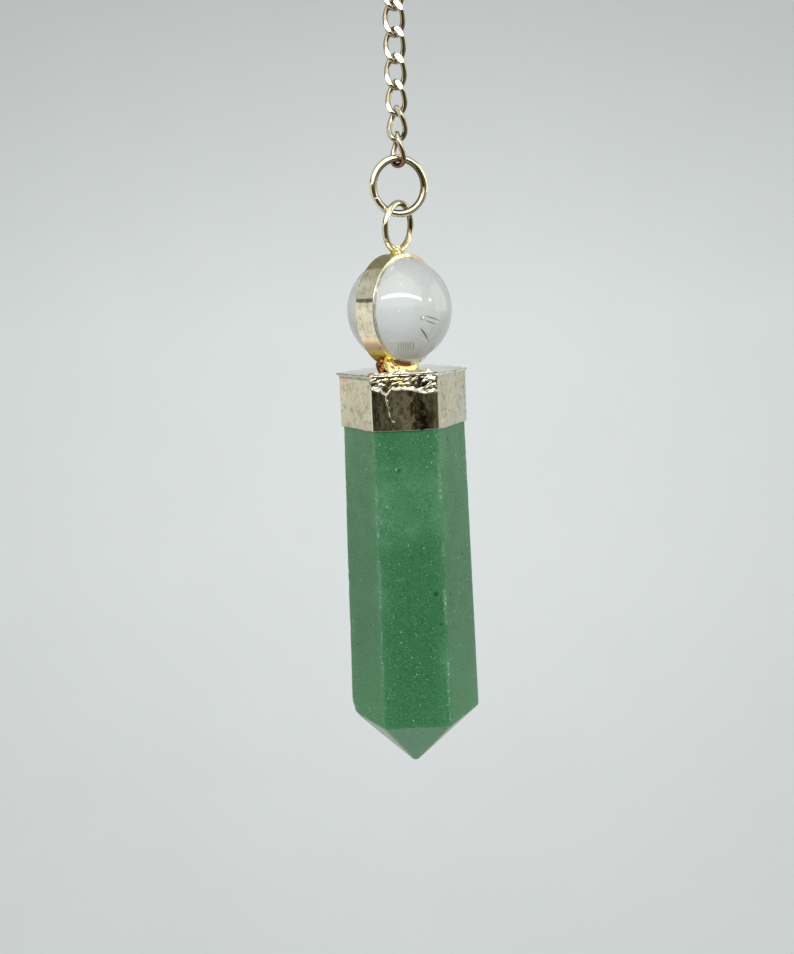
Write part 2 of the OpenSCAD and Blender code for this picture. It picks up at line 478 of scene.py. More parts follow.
# Colours of the metals
CHAMPAGNE = colour(0.87, 0.85, 0.74)
CHAMPAGNE_DULL = colour(0.66, 0.62, 0.47)
CHAIN_SILVER = colour(0.90, 0.86, 0.77)
CHAIN_DULL = colour(0.56, 0.46, 0.31)
PALE_GOLD = colour(0.88, 0.84, 0.67)
GOLD_DULL = colour(0.60, 0.51, 0.27)
SOLDER_GOLD = colour(0.98, 0.78, 0.27)
PEACH = colour(0.98, 0.74, 0.48)
BROWN = colour(0.20, 0.08, 0.025)
COPPER_STAIN = colour(0.76, 0.50, 0.38)
# This brown is tarnish, and also painted shade inside the rings and on the band, and painted dark reflection
# on the cap's front.
TARNISH_AND_SHADE_BROWN = colour(0.17, 0.115, 0.055)
BEND_RED_BROWN = colour(0.26, 0.12, 0.07)
STRAND_BROWN = colour(0.36, 0.29, 0.18)


def plated_wire(name, light, dark, cloud, gloss, tarnish, strand=None):
    """Plated wire, darkened where the inner mask says: painted shade inside a ring, and a red-brown darkening
    at the chain's last lower bend. The strand's colour shows where the file missed it."""
    made, tree, shader, tone = plated(name, light, dark, cloud, 0.1, gloss, 0.0009)
    if strand:
        tone = mixed(tree, attribute(tree, "strand"), tone, strand)
    tree.links.new(with_tarnish_and_shade(tree, tone, tarnish), shader.inputs["Base Color"])
    return made


CHAIN_METAL = plated_wire("chain_metal", CHAIN_SILVER, CHAIN_DULL, 0.5, 0.08, BEND_RED_BROWN, STRAND_BROWN)
# The ring is darker inside: painted shade.
RING_METAL = plated_wire("ring_metal", PALE_GOLD, GOLD_DULL, 0.45, 0.06, TARNISH_AND_SHADE_BROWN)


def make_setting_metal():
    """Champagne plating with smuts and specks, which turns to peach, gold and burnt brown towards the solder,
    and has a copper stain."""
    made, tree, shader, tone = plated("setting_metal", CHAMPAGNE, CHAMPAGNE_DULL, 0.5, 0.12, 0.045, 0.0008)
    where = place(tree)
    cloud = spread(tree, grain(tree, where, 0.32, 4, 0.6), 0.38, 0.68, 0.0, 0.7)
    tone = mixed(tree, cloud, tone, CHAMPAGNE_DULL)
    smuts = spread(tree, grain(tree, where, 1.5, 5, 0.75), 0.50, 0.74, 0.0, 0.8)
    # Darkened where the inner mask says: tarnish, painted shade inside the loop and on the band, and painted
    # dark reflection on the cap's front.
    tone = with_tarnish_and_shade(tree, mixed(tree, smuts, tone, TARNISH_AND_SHADE_BROWN), TARNISH_AND_SHADE_BROWN)
    specks = maths(tree, "MAXIMUM", flecks(tree, 1.3, 0.13, 0.16), flecks(tree, 2.8, 0.17, 0.12))
    tone = mixed(tree, maths(tree, "MULTIPLY", specks, 0.7), tone, TARNISH_AND_SHADE_BROWN)
    tone = mixed(tree, attribute(tree, "peach"), tone, PEACH)
    tone = mixed(tree, attribute(tree, "gold"), tone, SOLDER_GOLD)
    patches = grain(tree, where, 1.6, 3)
    edge = maths(tree, "ADD", attribute(tree, "burnt"), maths(tree, "MULTIPLY", patches, 0.8))
    tone = mixed(tree, spread(tree, edge, 0.85, 1.05), tone, BROWN)
    tone = mixed(tree, attribute(tree, "stain"), tone, COPPER_STAIN)
    tree.links.new(tone, shader.inputs["Base Color"])
    return made


SETTING_METAL = make_setting_metal()

# Tones of the crystal, how much light goes through it and how it bends it
MILK_DEEP = colour(0.94, 0.96, 0.95)
MILK_PALE = colour(1.0, 1.0, 0.99)
VEIL = colour(0.80, 0.82, 0.80)
STREAK = colour(0.72, 0.75, 0.73)
SHADE_AND_CAP_REFLECTION = colour(0.68, 0.62, 0.54)
QUARTZ_CLEAR = 0.80
QUARTZ_IOR = 1.544


def make_clear_quartz():
    """Clear rock crystal, polished, with a faint milky haze, upright veils and, to the right, streaks. It is
    painted darker and browner towards its bottom and its left side: painted shade, warmed by a painted
    reflection of the cap."""
    made, tree, shader = new_material("clear_quartz")
    haze = spread(tree, grain(tree, place(tree, (1, 1, 0.5)), 0.35, 4), 0.35, 0.7)
    milk = mixed(tree, haze, MILK_DEEP, MILK_PALE)
    veils = spread(tree, grain(tree, place(tree, (1, 1, 0.22)), 1.9, 4, 0.65), 0.45, 0.75, 0.0, 0.35)
    milk = mixed(tree, veils, milk, VEIL)
    sides = add(tree, "SeparateXYZ", {0: place(tree)})
    streaks = spread(tree, grain(tree, place(tree, (1, 1, 0.07)), 2.2, 3), 0.5, 0.62, 0.0, 0.4)
    streaked = spread(tree, sides.outputs[0], BALL_MIDDLE[0] + 0.6, BALL_MIDDLE[0] + 2.2)
    milk = mixed(tree, maths(tree, "MULTIPLY", streaks, streaked), milk, STREAK)
    # Painted shade towards the bottom and the left, warm as a painted reflection of the cap.
    low = spread(tree, sides.outputs[2], BALL_MIDDLE[2] - 1.2, BALL_MIDDLE[2] - 4.4)
    left = spread(tree, sides.outputs[0], BALL_MIDDLE[0] - 3.4, BALL_MIDDLE[0] - 4.8, 0.0, 0.6)
    milk = mixed(tree, maths(tree, "MAXIMUM", low, left), milk, SHADE_AND_CAP_REFLECTION)
    tree.links.new(milk, shader.inputs["Base Color"])
    shader.inputs["Transmission Weight"].default_value = QUARTZ_CLEAR
    shader.inputs["IOR"].default_value = QUARTZ_IOR
    smear = spread(tree, grain(tree, place(tree), 0.5, 3), 0.4, 0.8, 0.0, 0.02)
    tree.links.new(smear, shader.inputs["Roughness"])
    return made


def make_inclusion(name, rgb, rough):
    """Matter grown into the crystal, mottled a little along its length."""
    made, tree, shader = new_material(name)
    mottle = grain(tree, place(tree), 3.0, 2)
    dark, light = (colour(*(share * part for part in rgb)) for share in (0.7, 1.3))
    tree.links.new(mixed(tree, mottle, dark, light), shader.inputs["Base Color"])
    shader.inputs["Roughness"].default_value = rough
    return made


# Greens of the stone, and how it bends light
STONE_DEEP = colour(0.025, 0.152, 0.054)
STONE_CLOUD = colour(0.052, 0.212, 0.092)
STONE_FRESH = colour(0.085, 0.360, 0.140)
STONE_PALE = colour(0.108, 0.290, 0.150)
STONE_MOTTLE = colour(0.080, 0.245, 0.112)
STONE_GRAIN = colour(0.17, 0.38, 0.22)
STONE_PIT = colour(0.012, 0.086, 0.028)
STONE_SHADE = colour(0.020, 0.110, 0.042)
STONE_BLACK = colour(0.004, 0.022, 0.008)
STONE_FROST = colour(0.26, 0.44, 0.33)
STONE_SPARKLE = colour(0.60, 0.78, 0.68)
STONE_IOR = 1.54


def make_green_stone():
    """Green aventurine: cloudy green, paler and fresher where the masks say so, with fine mottling, dark and
    bright grains, and a frosty dust of chips at its worn edges."""
    made, tree, shader = new_material("green_stone")
    where = place(tree)
    tall = place(tree, (1, 1, 0.4))
    cloud = spread(tree, grain(tree, tall, 0.14, 4), 0.36, 0.66)
    tone = mixed(tree, cloud, STONE_DEEP, STONE_CLOUD)
    fresh = maths(tree, "MULTIPLY", attribute(tree, "fresh"), 0.45)
    tone = mixed(tree, fresh, tone, STONE_FRESH)
    # Paler where the pale mask says, in patches: painted light along the arrises, painted reflection on the
    # side faces, and painted shade left under the cap on the front.
    patchy = spread(tree, grain(tree, where, 0.5, 3), 0.2, 0.7)
    pale = maths(tree, "MULTIPLY", attribute(tree, "pale"), patchy)
    tone = mixed(tree, pale, tone, STONE_PALE)
    mottle = spread(tree, grain(tree, where, 2.4, 3, 0.7), 0.30, 0.72)
    tone = mixed(tree, maths(tree, "MULTIPLY", mottle, 0.5), tone, STONE_MOTTLE)
    fine = grain(tree, where, 6.5, 3, 0.75)
    tone = mixed(tree, spread(tree, fine, 0.52, 0.70, 0.0, 0.48), tone, STONE_GRAIN)
    tone = mixed(tree, spread(tree, fine, 0.48, 0.32, 0.0, 0.60), tone, STONE_PIT)
    dark = spread(tree, grain(tree, where, 3.1, 2), 0.36, 0.24)
    tone = mixed(tree, maths(tree, "MULTIPLY", dark, 0.5), tone, STONE_SHADE)
    black = maths(tree, "MAXIMUM", flecks(tree, 0.75, 0.13, 0.16), flecks(tree, 1.7, 0.12, 0.07))
    black = maths(tree, "MAXIMUM", black, attribute(tree, "spots"))
    tone = mixed(tree, black, tone, STONE_BLACK)
    wear = attribute(tree, "wear")
    bright = maths(tree, "MAXIMUM", flecks(tree, 2.1, 0.17, 0.10), flecks(tree, 4.3, 0.22, 0.10))
    dust = maths(tree, "MAXIMUM", flecks(tree, 3.4, 0.40, 0.5), flecks(tree, 2.3, 0.36, 0.7))
    bright = maths(tree, "MAXIMUM", bright, maths(tree, "MULTIPLY", dust, wear))
    tone = mixed(tree, maths(tree, "MULTIPLY", wear, 0.22), tone, STONE_FROST)
    tone = mixed(tree, maths(tree, "MULTIPLY", bright, 0.85), tone, STONE_SPARKLE)
    tree.links.new(tone, shader.inputs["Base Color"])
    tree.links.new(maths(tree, "MULTIPLY_ADD", wear, 0.3, 0.22), shader.inputs["Roughness"])
    skin = maths(tree, "ADD", grain(tree, where, 2.5, 3), maths(tree, "MULTIPLY", bright, 0.5))
    relief = add(tree, "Bump", {"Height": skin, "Distance": 0.008 * MM, "Strength": 1.0})
    tree.links.new(relief.outputs[0], shader.inputs["Normal"])
    shader.inputs["IOR"].default_value = STONE_IOR
    shader.inputs["Subsurface Weight"].default_value = 0.35
    shader.inputs["Subsurface Radius"].default_value = (0.5, 1.2, 0.7)
    shader.inputs["Subsurface Scale"].default_value = 1.2 * MM
    return made


CLEAR_QUARTZ = make_clear_quartz()
DARK_NEEDLE = make_inclusion("dark_needle", (0.016, 0.014, 0.014), 0.5)
BROWN_NEEDLE = make_inclusion("brown_needle", (0.26, 0.21, 0.15), 0.5)
GREY_HAIR = make_inclusion("grey_hair", (0.20, 0.22, 0.22), 0.5)
WHITE_FLECK = make_inclusion("white_fleck", (0.98, 0.98, 0.94), 0.3)
CREAM_FLAKE = make_inclusion("cream_flake", (0.90, 0.82, 0.60), 0.5)
GREEN_STONE = make_green_stone()

# Chain


def oval(x):
    """Signed power that squares the oval of a link a little."""
    return np.sign(x) * np.abs(x) ** (2 / OVAL_POWER)


# The file's cuts: the tilt on each link in degrees, the heights above and below a link's middle where they
# are as deep as the chain is flat, and how softly they end. Then the red-brown darkening at the last link's
# lower bend: height, strength.
CUT_TILTS = [13, 13, 13, 13, 8, 8, 8]
CUT_ABOVE = 0.95
CUT_BELOW = 0.70
CUT_EDGE = 0.006
BEND_DARKENING_H = 0.55
BEND_DARKENING = 0.85

# Depths of cut between which the file reaches a strand, and how brown an unreached one is
STRAND_DEPTHS = (0.014, 0.004)
STRAND_SHADE = 0.9
LINK_ROWS = 180
LINK_SIDES = 32


def curb_link(number):
    """Wire of one curb link. Its middle line is an oval whose half width is side and whose height is
    share, twisted about the vertical by the twist times the share. The wire is cut flat front and back,
    as the file leaves it: a depth past half the chain's thickness is eased back to it. Each half of the
    link is cut by a plane of its own, tilted so that it looks up a little. Gives the wire, a mask that is
    full at the last link's lower bend and fades out by a bell, and one for the strands the file missed."""
    last = number == LINK_COUNT - 1
    width = LAST_W if last else LINK_W
    twist = LAST_TWIST if last else LINK_TWIST
    turn = LINK_TURNS[number]
    angle = np.linspace(0, 2 * np.pi, 4000, endpoint=False)
    share = oval(np.sin(angle))
    side = (width - LINK_WIRE) / 2 * oval(np.cos(angle))
    way = np.radians(turn + twist * share)
    path = evenly(np.stack([side * np.cos(way), -side * np.sin(way), LINK_L / 2 * share], -1), LINK_ROWS)
    way = np.radians(turn + twist * path[:, 2] / (LINK_L / 2))
    flat_way = np.stack([np.sin(way), np.cos(way), np.zeros(len(way))], -1)
    grid = tube(path, LINK_WIRE / 2, flat_way, LINK_SIDES)
    plane_way = np.array([math.sin(math.radians(turn)), math.cos(math.radians(turn)), 0])
    depth = grid @ plane_way
    above_cut = grid[..., 2] - np.where(grid[..., 2] > 0, CUT_ABOVE, -CUT_BELOW)
    limit = CHAIN_T / 2 - math.tan(math.radians(CUT_TILTS[number])) * above_cut
    over = CUT_EDGE * np.logaddexp(0, (np.abs(depth) - limit) / CUT_EDGE)
    grid -= (np.sign(depth) * over)[..., None] * plane_way
    first_z = (LINK_WIRE - LINK_L) / 2
    bend_darkening = BEND_DARKENING * last * bump(grid[..., 2] + LINK_L / 2, BEND_DARKENING_H)
    strand = STRAND_SHADE * smooth(*STRAND_DEPTHS, over) * (0.85 + 0.15 * noise(grid, 0.5, 5))
    return grid + UP * (first_z - number * LINK_PITCH), bend_darkening, strand


for number in range(LINK_COUNT):
    link_points, link_bend_darkening, link_strand = curb_link(number)
    piece(
        f"curb_wire_{number + 1}",
        link_points,
        "chain",
        "chain_metal",
        CHAIN_METAL,
        [f"chain_link_{number + 1}"],
        rows_close=True,
        masks={"inner": link_bend_darkening, "strand": link_strand},
        sharp=28,
    )

# Jump ring. Its split: how far round it is in degrees, its gap, its step and how far its ends are rounded
SPLIT_AT = 204
SPLIT_GAP = 0.016
SPLIT_STEP = 0.02
END_ROUND = 0.09


# How far inside a ring's middle line its painted shade starts and is full, and how strong it is
INSIDE_FROM = 0.04
INSIDE_TO = 0.24
INSIDE_SHADE = 0.9


def inside_of(grid, centre, radius):
    """Mask of painted shade for the inside of a ring of wire: it grows as a point falls within the middle
    line's radius.
    """
    from_middle = np.linalg.norm(grid - centre, axis=-1)
    return INSIDE_SHADE * smooth(radius - INSIDE_FROM, radius - INSIDE_TO, from_middle)


def split_ring():
    """Wire ring, open by a hair at its split, whose ends are rounded off and stand a step apart.
    The middle line runs round the ring from one end to the other, and drifts outwards by the step. Gives
    the wire, and a mask of painted shade for the ring's inside."""
    gap = SPLIT_GAP / RING_R
    start = math.radians(SPLIT_AT)
    ends = 0.5 - 0.5 * np.cos(np.linspace(0, np.pi, 13))[:-1]
    ease = ends * END_ROUND / RING_R
    body = np.linspace(gap / 2 + ease[-1] + 0.01, 2 * np.pi - gap / 2 - ease[-1] - 0.01, 200)
    turn = np.concatenate([gap / 2 + ease, body, 2 * np.pi - gap / 2 - ease[::-1]])
    from_end = np.minimum(turn - gap / 2, 2 * np.pi - gap / 2 - turn) * RING_R
    radius = RING_WIRE / 2 * (1 - 0.16 * (1 - smooth(0, END_ROUND, from_end)) ** 2)
    out = RING_R + SPLIT_STEP * (turn / (2 * np.pi) - 0.5) * bump(from_end, 1.5)
    angle = start + turn
    right = turned(RING_TURN)
    path = spanned((out * np.cos(angle), right), (out * np.sin(angle), UP)) + RING_MIDDLE
    across = np.broadcast_to(np.cross(right, UP), path.shape)
    grid = tube(path, radius, across, 40, rows_close=False)
    return grid, inside_of(grid, RING_MIDDLE, RING_R)


ring_points, ring_inner = split_ring()
piece(
    "ring_wire",
    ring_points,
    "ring",
    "ring_metal",
    RING_METAL,
    ["jump_ring"],
    masks={"inner": ring_inner},
    sharp=50,
)

# Setting: loop, its solder, band, foot and cap
SETTING = ("pendant", "setting_metal", SETTING_METAL, ["setting"])


def setting_piece(name, points, gold=0.0, burnt=0.0, peach=0.0, stain=0.0, inner=0.0, **how):
    """Piece of the setting, whose masks say where it is gold, burnt, peach or stained, and where inner
    darkens it: tarnish in places, painted shade and painted dark reflection in others.
    """
    masks = {"gold": gold, "burnt": burnt, "peach": peach, "stain": stain, "inner": inner}
    return piece(name, points, *SETTING, masks=masks, **how)


def pushed(grid, lift, away):
    """The grid with each point moved by its lift across the surface, to the side that away points to."""
    ahead = np.gradient(grid, axis=0)
    beside = np.roll(grid, -1, 1) - np.roll(grid, 1, 1)
    out = unit(np.cross(ahead, beside) + 1e-12)
    out *= np.where(np.sum(out * away, -1, keepdims=True) < 0, -1, 1)
    return grid + lift[..., None] * out


def loop_wire():
    """Round wire ring that leans about its own level axis. It thickens where the solder has run up it.
    Gives the wire, a mask for its foot and one of painted shade for its inside."""
    turn = np.linspace(0, 2 * np.pi, 200, endpoint=False)
    from_foot = np.abs(turn - np.pi)
    right = turned(LOOP_TURN)
    path = spanned((-LOOP_R * np.sin(turn), right), (LOOP_R * (1 + np.cos(turn)), UP))
    radius = LOOP_WIRE / 2 * (1 + 0.28 * bump(from_foot, 0.55))
    grid = tube(path, radius, np.broadcast_to(np.cross(right, UP), path.shape), 36)
    near_foot = bump(grid[..., 2], 1.1)
    grid += (near_foot * noise(grid, 0.42, 3) * 0.05)[..., None] * unit(grid - path[:, None])
    lean = np.array(Matrix.Rotation(math.radians(LOOP_LEAN), 3, right.tolist()))
    inner = inside_of(grid, LOOP_R * UP, LOOP_R) * (1 - near_foot)
    return hung(grid @ lean.T + UP * LOOP_FOOT_Z), bump(grid[..., 2], 0.9), inner


LOOP_SOLDER_TOP_R = 0.30


def loop_solder():
    """Solder that creeps from the loop down to the band: a turned shape whose radius eases out from the
    wire to the solder's width as it falls, roughened by noise."""
    fall = np.linspace(0, 1, 40)[:, None]
    angle = np.linspace(0, 2 * np.pi, 96, endpoint=False)[None, :]
    radius = LOOP_SOLDER_TOP_R + (LOOP_SOLDER_W / 2 - LOOP_SOLDER_TOP_R) * fall**1.6
    height = BAND_R + 0.75 - 0.95 * fall
    along = turned(BAND_TURN)
    across = np.cross(along, UP)
    around = ((radius * np.cos(angle), along), (radius * np.sin(angle), across))
    grid = spanned(*around, (height + 0 * angle, UP))
    sag = BAND_R - np.sqrt(np.maximum(BAND_R**2 - (grid @ along) ** 2, 0))
    grid -= (sag * fall)[..., None] * UP
    out = unit(grid - UP * (BAND_R - 0.4))
    lumps = 0.11 * facets(grid[..., 0], grid[..., 2], 0.42, 11) + 0.04 * noise(grid, 0.3, 12)
    return hung(grid + (lumps * np.sin(np.pi * np.clip(fall + 0.15, 0, 1)))[..., None] * out)


def band_strip():
    """Strip bent round the ball: a closed profile of width and height, carried round the ball. Its inside
    follows the ball, its rims are a little rounded, and its outside is dented a little by noise."""
    half = BAND_W / 2
    rim = 0.05
    u_out = np.linspace(-half + rim, half - rim, 19)
    bend = np.linspace(0, np.pi / 2, 5)[1:-1]
    foot_r = math.sqrt(SEAT_R**2 - half**2)
    u = np.concatenate([
        u_out,
        half - rim + rim * np.sin(bend),
        np.full(6, half),
        np.linspace(half, -half, 13)[1:-1],
        np.full(6, -half),
        -half + rim - rim * np.cos(bend),
    ])
    side_r = np.linspace(BAND_R - rim, foot_r, 6)
    r = np.concatenate([
        np.full(19, BAND_R),
        BAND_R - rim + rim * np.cos(bend),
        side_r,
        np.sqrt(SEAT_R**2 - np.linspace(half, -half, 13)[1:-1] ** 2),
        side_r[::-1],
        BAND_R - rim + rim * np.sin(bend),
    ])
    angle = np.linspace(0, 2 * np.pi, 300, endpoint=False)[:, None]
    ring = np.stack([np.cos(angle[:, 0]), np.sin(angle[:, 0]), np.zeros(len(angle))], -1) * BAND_R
    wave = 1 + 0.02 * noise(ring, 2.2, 21)[:, None]
    along = turned(BAND_TURN)
    across = np.cross(along, UP)
    grid = spanned((r * np.cos(angle), along), (r * np.sin(angle), UP), (u * wave, across))
    outside = smooth(SEAT_R + 0.05, BAND_R, r)[None, :, None]
    way = spanned((np.cos(angle), along), (np.sin(angle), UP))
    grid += way * outside * (0.012 * noise(grid, 1.6, 22) + 0.004 * noise(grid, 0.5, 23))[..., None]
    height = grid[..., 2]
    nearer = smooth(0.3, -0.3, grid @ along)
    peach = 0.75 * smooth(-2.1, -2.6, height) * nearer
    below_loop = bump(np.linalg.norm(grid[..., :2], axis=-1), 1.0) * (height > 0)
    gold = np.maximum(smooth(-3.3, -3.7, height) * nearer, 0.2 * below_loop)
    burnt = smooth(-4.0, -4.9, height) * (0.5 + 0.5 * nearer)
    # Painted shade on the band's far side near its top.
    shaded = 0.6 * smooth(0.0, 1.0, grid @ along) * smooth(2.6, 4.2, height)
    return hung(grid), {"peach": peach, "gold": gold, "burnt": burnt, "inner": shaded}


def foot_solder():
    """Solder between the band and the cap: a squared oval that is long along the band and flares towards
    the cap, roughened by noise."""
    fall = np.linspace(0, 1, 26)[:, None]
    angle = np.linspace(0, 2 * np.pi, 160, endpoint=False)[None, :]
    long = (FOOT_W / 2) * (0.92 + 0.12 * fall**2)
    wide = (BAND_W / 2) * (0.90 + 0.16 * fall**3)
    power = 2 / 3.2
    u = long * np.sign(np.cos(angle)) * np.abs(np.cos(angle)) ** power
    v = wide * np.sign(np.sin(angle)) * np.abs(np.sin(angle)) ** power
    height = CAP_TOP_Z + 0.75 - 0.80 * fall + 0 * angle
    along = turned(BAND_TURN)
    across = np.cross(along, UP)
    grid = spanned((u, along), (v, across), (height, UP))
    out = unit(grid * [1, 1, 0])
    lumps = 0.10 * noise(grid, 0.6, 31) + 0.05 * noise(grid, 0.25, 32)
    grid += (lumps * (0.4 + 0.6 * fall))[..., None] * out
    grid[..., 2] = np.where(np.linalg.norm(grid, axis=-1) < SEAT_R + 0.03, grid[..., 2] - 0.15, grid[..., 2])
    right = grid[..., 0]
    return hung(grid), smooth(-0.9, -1.3, right) + 0.3 * smooth(0.2, 0.6, right)


def solder_run(start, end, thick, seed):
    """Run of solder beside the band's lower end, down on to the cap: a lump whose radius about a slanting
    middle line swells and shrinks as a sine, roughened by facets and noise."""
    share = np.linspace(0.02, 0.98, 60)[:, None]
    angle = np.linspace(0, 2 * np.pi, 72, endpoint=False)[None, :]
    start, end = np.array(start), np.array(end)
    radius = thick / 2 * np.sin(np.pi * share**0.75) ** 0.6
    along = unit(end - start)
    side = unit(np.cross(along, [0, 1, 0]))
    front = np.cross(side, along)
    path = start + (end - start) * share
    grid = path[:, None] + spanned((radius * np.cos(angle), side), (radius * np.sin(angle), front))
    lumps = 0.07 * facets(grid[..., 0], grid[..., 2], 0.5, seed) + 0.04 * noise(grid, 0.35, seed + 1)
    return hung(pushed(grid, lumps, grid - path[:, None]))


# How crisp the cap's corners are
CORNER_POWER = 70


def hexagon_ring(spots, half_w, power):
    """Points round a hexagon with eased corners at unwrapped places on it: a place is the distance along
    the sides from the middle of the front side, for a hexagon of half width 1. The distance from the
    middle is the side's distance over the power mean of the cosines to the six sides' directions.
    Gives the points, level, and the outward direction at each."""
    side = np.round(spots)
    angle = -np.pi / 2 + side * np.pi / 3 + np.arctan((spots - side) / FLAT_SHARE)
    faces = np.pi / 6 + np.arange(6) * np.pi / 3
    cosines = np.maximum(np.cos(angle[..., None] - faces), 1e-9)
    mean = (cosines**power).sum(-1) ** (1 / power)
    weights = cosines ** (power - 1)
    way = np.stack([(weights * np.cos(faces)).sum(-1), (weights * np.sin(faces)).sum(-1)], -1)
    reach = half_w * FLAT_SHARE / mean
    level = np.zeros(reach.shape)
    points = np.stack([reach * np.cos(angle), reach * np.sin(angle), level], -1)
    return points, np.concatenate([unit(way), level[..., None]], -1)


def crowded(count):
    """Places along one side of a hexagon, crowded to its corners by a sine."""
    return np.sin(np.linspace(-np.pi / 2, np.pi / 2, count, endpoint=False)) / 2


def hexagon_spots(front, near, far):
    """Places round a hexagon for the columns of a grid: those given for the front side, and counts for the
    two sides beside it and for each of the far three."""
    counts = [near, far, far, far, near]
    return np.concatenate([front, *(side + crowded(count) for side, count in enumerate(counts, 1))])


def hex_turned(points):
    """Points turned about the vertical as the cap and the stone are."""
    turn = np.array(Matrix.Rotation(math.radians(-HEX_TURN), 3, "Z"))
    return points @ turn.T


# Cap: the height of its lip's bend, its flare at the left corner, the stain's place in half widths and drop,
# and the seam's places at drops
LIP_BEND = 0.42
LIP_FLARE = 0.15
STAIN_AT = (-1.27, 0.75)
SEAM_SPOTS = [-1.73, -1.35, -1.02, -1.24]
SEAM_DROPS = [1.9, 3.7, 4.6, 5.2]


def cap_shell():
    """Thin hexagonal cap, from the middle of its top out over the flared lip, down the wall, round its
    bottom edge and up the inside. A row of the grid has a half width, a drop below the cap's top and its
    share of the lip. The lip waves, and flares most at the left corner. A jagged seam and ripples run down
    the front side. Gives the shell, a mask for its copper stain and one that darkens the front: black bands
    of painted dark reflection, mottled, and dots of tarnish."""
    half_w = CAP_W / 2
    top = np.linspace(0.1, 1, 9)
    flare = np.linspace(0, 1, 12)
    wall = np.linspace(0.57, CAP_H - 0.05, 104)
    inner = half_w - CAP_WALL / FLAT_SHARE
    rows = np.concatenate([
        np.stack([(half_w - 0.12) * top, 0 * top, top**4], -1),
        [[half_w - 0.04, 0.01, 1], [half_w, 0.05, 1], [half_w, 0.10, 1]],
        np.stack([half_w + 0 * flare, 0.12 + LIP_BEND * flare, (1 - flare) ** 2.2], -1),
        np.stack([half_w + 0 * wall, wall, 0 * wall], -1),
        [[half_w - 0.02, CAP_H - 0.01, 0], [half_w - CAP_WALL / 2, CAP_H, 0]],
        [[half_w - CAP_WALL, CAP_H - 0.02, 0]],
        [[inner, CAP_H - rise, 0] for rise in (0.1, 0.6, 2, CAP_H - PLATE_T - 0.05)],
        [[w, PLATE_T, 0] for w in (inner - 0.1, 3, 0.6)],
    ])
    first, last = len(top), len(top) + 3 + len(flare) + len(wall)
    outer = np.zeros((len(rows), 1))
    outer[first : last + 1] = 1
    half, drop, lip = rows.T[..., None]
    spots = hexagon_spots(np.linspace(-0.5, 0.5, 190, endpoint=False), 90, 40)
    face = np.where(spots > 3, spots - 6, spots) * half_w
    on_front = smooth(half_w / 2 + 0.05, half_w / 2 - 0.35, np.abs(face))
    reach = LIP_OUT * (1 - 0.7 * on_front) + LIP_FLARE * bump(face + 1.5 * half_w, 1.2)
    half = half + lip * reach
    grid, out = hexagon_ring(spots + 0 * half, half, CORNER_POWER)
    grid = grid - drop[..., None] * UP
    flat = laid_flat(face, drop)
    seam = np.interp(drop, SEAM_DROPS, SEAM_SPOTS) + 0.06 * noise(flat, 0.22, 45)
    below = smooth(1.2, 1.9, drop) * smooth(4.95, 4.3, drop) * on_front
    width = 0.05 + 0.03 * smooth(2.8, 4.2, drop)
    ridge = 0.055 * bump(face - seam, width) - 0.03 * bump(face - seam + 2.2 * width, width)
    lift = below * ridge * (0.8 + 0.4 * noise(flat, 0.3, 46))
    drawn = on_front * smooth(-1.1, -1.4, face) * smooth(1.6, 4.4, drop)
    lift += 0.028 * drawn * noise(flat, (0.17, 1, 2.5), 47)
    lift += on_front * (0.03 * (1 - (2 * face / half_w) ** 2) + 0.014 * noise(flat, (1.3, 1, 2.6), 48))
    lift += (1 - on_front) * 0.014 * noise(grid, (1.8, 1.8, 2.5), 49)
    grid += (lift * outer)[..., None] * out
    wave = noise(flat * [1, 0, 0], 1.1, 50)
    grid[..., 2] += 0.035 * wave * (drop > CAP_H - 0.3) - 0.07 * np.abs(wave) * lip * (1 - on_front)
    stain = bump(face / half_w - STAIN_AT[0], 0.10) * bump(drop - STAIN_AT[1], 0.45) * outer
    # Painted dark reflection: black bands across the front, mottled, where it mirrors the dark room. The dots
    # are tarnish.
    black = smooth(0.35, 0.6, face) * smooth(2.3, 1.9, face) + 0.6 * smooth(-2.6, -2.8, face)
    mottled = smooth(-0.45, 0.35, noise(flat, (0.42, 1, 0.6), 55) + 0.5 * noise(flat, (0.16, 1, 0.2), 56))
    dots = 0.5 * smooth(0.2, 0.7, noise(flat, (0.3, 1, 0.45), 58))
    dark = on_front * np.clip(0.95 * black * mottled + dots, 0, 1) * outer
    stain = stain * np.clip(0.6 + 0.6 * noise(flat, 0.3, 52), 0, 1)
    return hung(hex_turned(grid) + UP * CAP_TOP_Z), stain, dark


# Crust of solder along the cap's front: its lower edge at places along the wall, and its section
CRUST_SPOTS = [-5.2, -4.6, -3.7, -3.1, -2.2, -1.65, -1.1, 0.0, 0.9, 1.9, 3.1, 3.6]
CRUST_DROPS = [0.75, 1.1, 1.0, 1.35, 1.4, 1.9, 1.35, 1.5, 1.67, 1.85, 1.7, 1.3]
CRUST_ENDS = (-6.7, 3.75)

# Columns: out from the wall, drop, share of the lower edge's drop to add, crumple, gold, and grid columns
CRUST_SECTION = np.array([
    (-1.20, 0.03, 0, 0.00, 0.0, 8),
    (-0.60, -0.25, 0, 0.03, 0.0, 8),
    (-0.27, -0.40, 0, 0.012, 0.0, 16),
    (0.07, -0.12, 0, 0.012, 0.0, 10),
    (0.02, 0.12, 0, 0.03, 0.6, 26),
    (0.05, 0.45, 0, 0.06, 1.0, 26),
    (0.02, -0.34, 1, 0.07, 0.6, 26),
    (0.24, -0.10, 1, 0.08, 0.0, 10),
    (0.06, 0.03, 1, 0.03, 0.0, 3),
    (-0.07, 0.04, 1, 0.00, 0.0, 3),
    (-0.10, -0.10, 1, 0.00, 0.0, 6),
    (-0.10, 0.14, 0, 0.00, 0.0, 5),
    (-1.20, 0.14, 0, 0.00, 0.0, 5),
])

